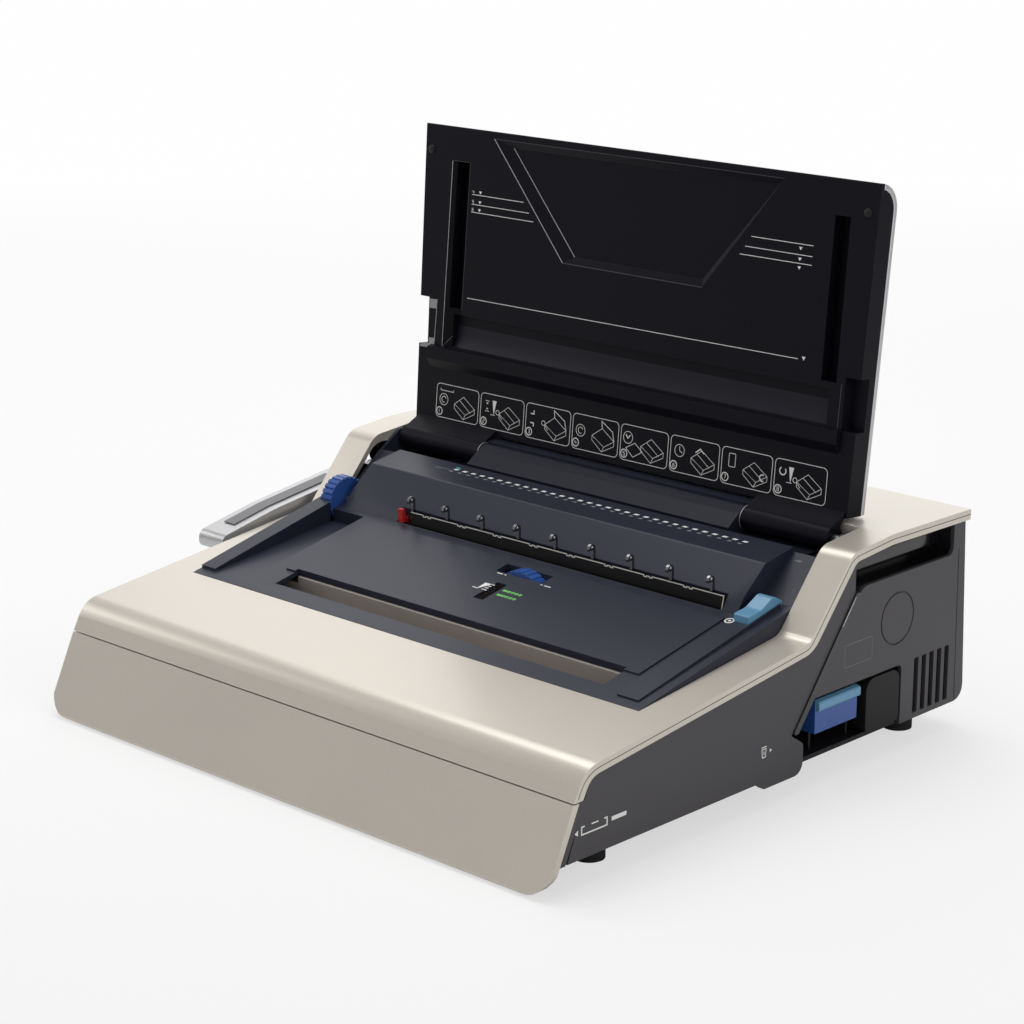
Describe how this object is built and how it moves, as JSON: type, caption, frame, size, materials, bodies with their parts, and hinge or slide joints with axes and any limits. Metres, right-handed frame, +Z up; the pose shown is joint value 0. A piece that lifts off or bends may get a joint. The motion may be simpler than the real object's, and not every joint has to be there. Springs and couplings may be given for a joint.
{
  "type": "wire binding machine",
  "caption": "Desktop electric punch and wire binding machine with a sloping front, raised lid, side lever, hook slot and pull-out trays.",
  "frame": {"origin": "centre of the underside of the whole outline, on the desk", "axes": "+Z up, +Y to the machine's rear, +X to its right side"},
  "size_m": [0.49, 0.4144, 0.3706],
  "materials": {
    "champagne": "satin champagne paint",
    "dark_shell": "fine-grained dark moulding",
    "deck_navy": "dark navy moulding",
    "lid_black": "near-black moulding, soft sheen",
    "silver": "silver paint",
    "blue": "deep blue moulding",
    "light_blue": "light blue moulding",
    "red": "red moulding",
    "steel": "plain steel",
    "gloss_black": "glossy black moulding",
    "rubber": "black rubber",
    "grey_plastic": "grey moulding",
    "board_green": "green circuit board",
    "clear_window": "tinted clear window"
  },
  "bodies": {
    "machine": {"base_pan": "grey_plastic", "top_cover": "champagne", "right_front_panel": "dark_shell", "left_front_panel": "dark_shell", "right_rear_panel": "dark_shell", "left_rear_panel": "dark_shell", "right_trim": "gloss_black", "left_trim": "gloss_black", "right_grip": "gloss_black", "left_grip": "gloss_black", "rear_panel": "dark_shell", "foot_front_left": "rubber", "foot_front_right": "rubber", "foot_rear_left": "rubber", "foot_rear_right": "rubber", "side_block": "gloss_black", "deck": "deck_navy", "size_window": "clear_window", "hinge_bar": "deck_navy", "hinge_pin_left": "steel", "hinge_pin_right": "steel", "closing_jaw": "steel", "die_block": "steel", "stripper_plate": "steel", "punch_frame_left": "steel", "punch_frame_right": "steel", "motor": "steel", "hook_rail": "steel", "paddle_switch": "gloss_black", "power_inlet": "gloss_black", "control_board": "board_green"},
    "lid": {"lid_inner": "lid_black", "lid_skin": "silver"},
    "drawer": {"drawer_front": "champagne", "storage_tray": "dark_shell"},
    "chip_drawer": {"chip_tray": "blue"},
    "lever": {"lever_arm": "silver", "lever_inlay": "grey_plastic", "lever_shaft": "steel"},
    "closer": {"closing_bar": "steel", "push_rod_left": "steel", "push_rod_right": "steel"},
    "cam_line": {"camshaft": "steel", "drive_gear": "grey_plastic"},
    "middle_gear": {"idler_gear": "grey_plastic"},
    "motor_shaft": {"motor_pinion": "steel"},
    "punch": {"punch_bar": "steel", "punch_pins": "steel"},
    "edge_guide": {"edge_knob": "blue", "edge_screw": "steel"},
    "guide_stop": {"edge_stop": "red"},
    "size_dial": {"size_wheel": "blue"},
    "size_marker": {"size_pointer": "red"},
    "paddle": {"punch_paddle": "light_blue"},
    "rocker": {"power_switch": "gloss_black"}
  },
  "joints": [
    {"name": "lid_hinge", "type": "hinge", "parent": "machine", "child": "lid", "pos_m": [0.015, 0.10665, 0.144], "axis": [1, 0, 0], "range_deg": [0, 110]},
    {"name": "drawer_slide", "type": "slide", "parent": "machine", "child": "drawer", "axis": [0, -1, 0], "range_m": [0, 0.15]},
    {"name": "chip_slide", "type": "slide", "parent": "machine", "child": "chip_drawer", "axis": [1, 0, 0], "range_m": [0, 0.3]},
    {"name": "lever_turn", "type": "hinge", "parent": "machine", "child": "lever", "pos_m": [0.015, 0.12925, 0.0931], "axis": [-1, 0, 0], "range_deg": [0, 70]},
    {"name": "closer_slide", "type": "slide", "parent": "machine", "child": "closer", "axis": [0, -1, 0], "range_m": [0, 0.014]},
    {"name": "cam_turn", "type": "hinge", "parent": "machine", "child": "cam_line", "pos_m": [0.015, 0.11685, 0.1085], "axis": [1, 0, 0], "range_deg": [0, 180]},
    {"name": "middle_gear_turn", "type": "hinge", "parent": "machine", "child": "middle_gear", "pos_m": [0.015, 0.15587, 0.09763], "axis": [1, 0, 0], "range_deg": [-225, 0]},
    {"name": "motor_turn", "type": "hinge", "parent": "machine", "child": "motor_shaft", "pos_m": [0.015, 0.16265, 0.0715], "axis": [1, 0, 0], "range_deg": [0, 450]},
    {"name": "punch_slide", "type": "slide", "parent": "machine", "child": "punch", "axis": [0, -1, 0], "range_m": [0, 0.008]},
    {"name": "guide_turn", "type": "hinge", "parent": "machine", "child": "edge_guide", "pos_m": [0.015, 0.03665, 0.1105], "axis": [1, 0, 0], "range_deg": [0, 300]},
    {"name": "stop_slide", "type": "slide", "parent": "machine", "child": "guide_stop", "axis": [1, 0, 0], "range_m": [0, 0.005]},
    {"name": "dial_turn", "type": "hinge", "parent": "machine", "child": "size_dial", "pos_m": [0.0287, -0.00135, 0.0855], "axis": [0, 1, 0], "range_deg": [-100, 100]},
    {"name": "marker_slide", "type": "slide", "parent": "machine", "child": "size_marker", "axis": [0, 1, 0], "range_m": [-0.005, 0.005]},
    {"name": "paddle_press", "type": "hinge", "parent": "machine", "child": "paddle", "pos_m": [0.015, 0.04565, 0.10987], "axis": [1, 0, 0], "range_deg": [0, 5], "stiffness_Nm_per_rad": 0.4, "springref_deg": -2.86},
    {"name": "rocker_tilt", "type": "hinge", "parent": "machine", "child": "rocker", "pos_m": [0.015, 0.20285, 0.0475], "axis": [1, 0, 0], "range_deg": [0, 8]}
  ],
  "couplings": [
    {"joint": "closer_slide", "follows": "lever_turn", "m_per_rad": 0.011459},
    {"joint": "cam_turn", "follows": "punch_slide", "rad_per_m": 392.7},
    {"joint": "middle_gear_turn", "follows": "punch_slide", "rad_per_m": -490.87},
    {"joint": "motor_turn", "follows": "punch_slide", "rad_per_m": 981.75},
    {"joint": "stop_slide", "follows": "guide_turn", "m_per_rad": 0.00095492},
    {"joint": "marker_slide", "follows": "dial_turn", "m_per_rad": 0.0028648}
  ]
}
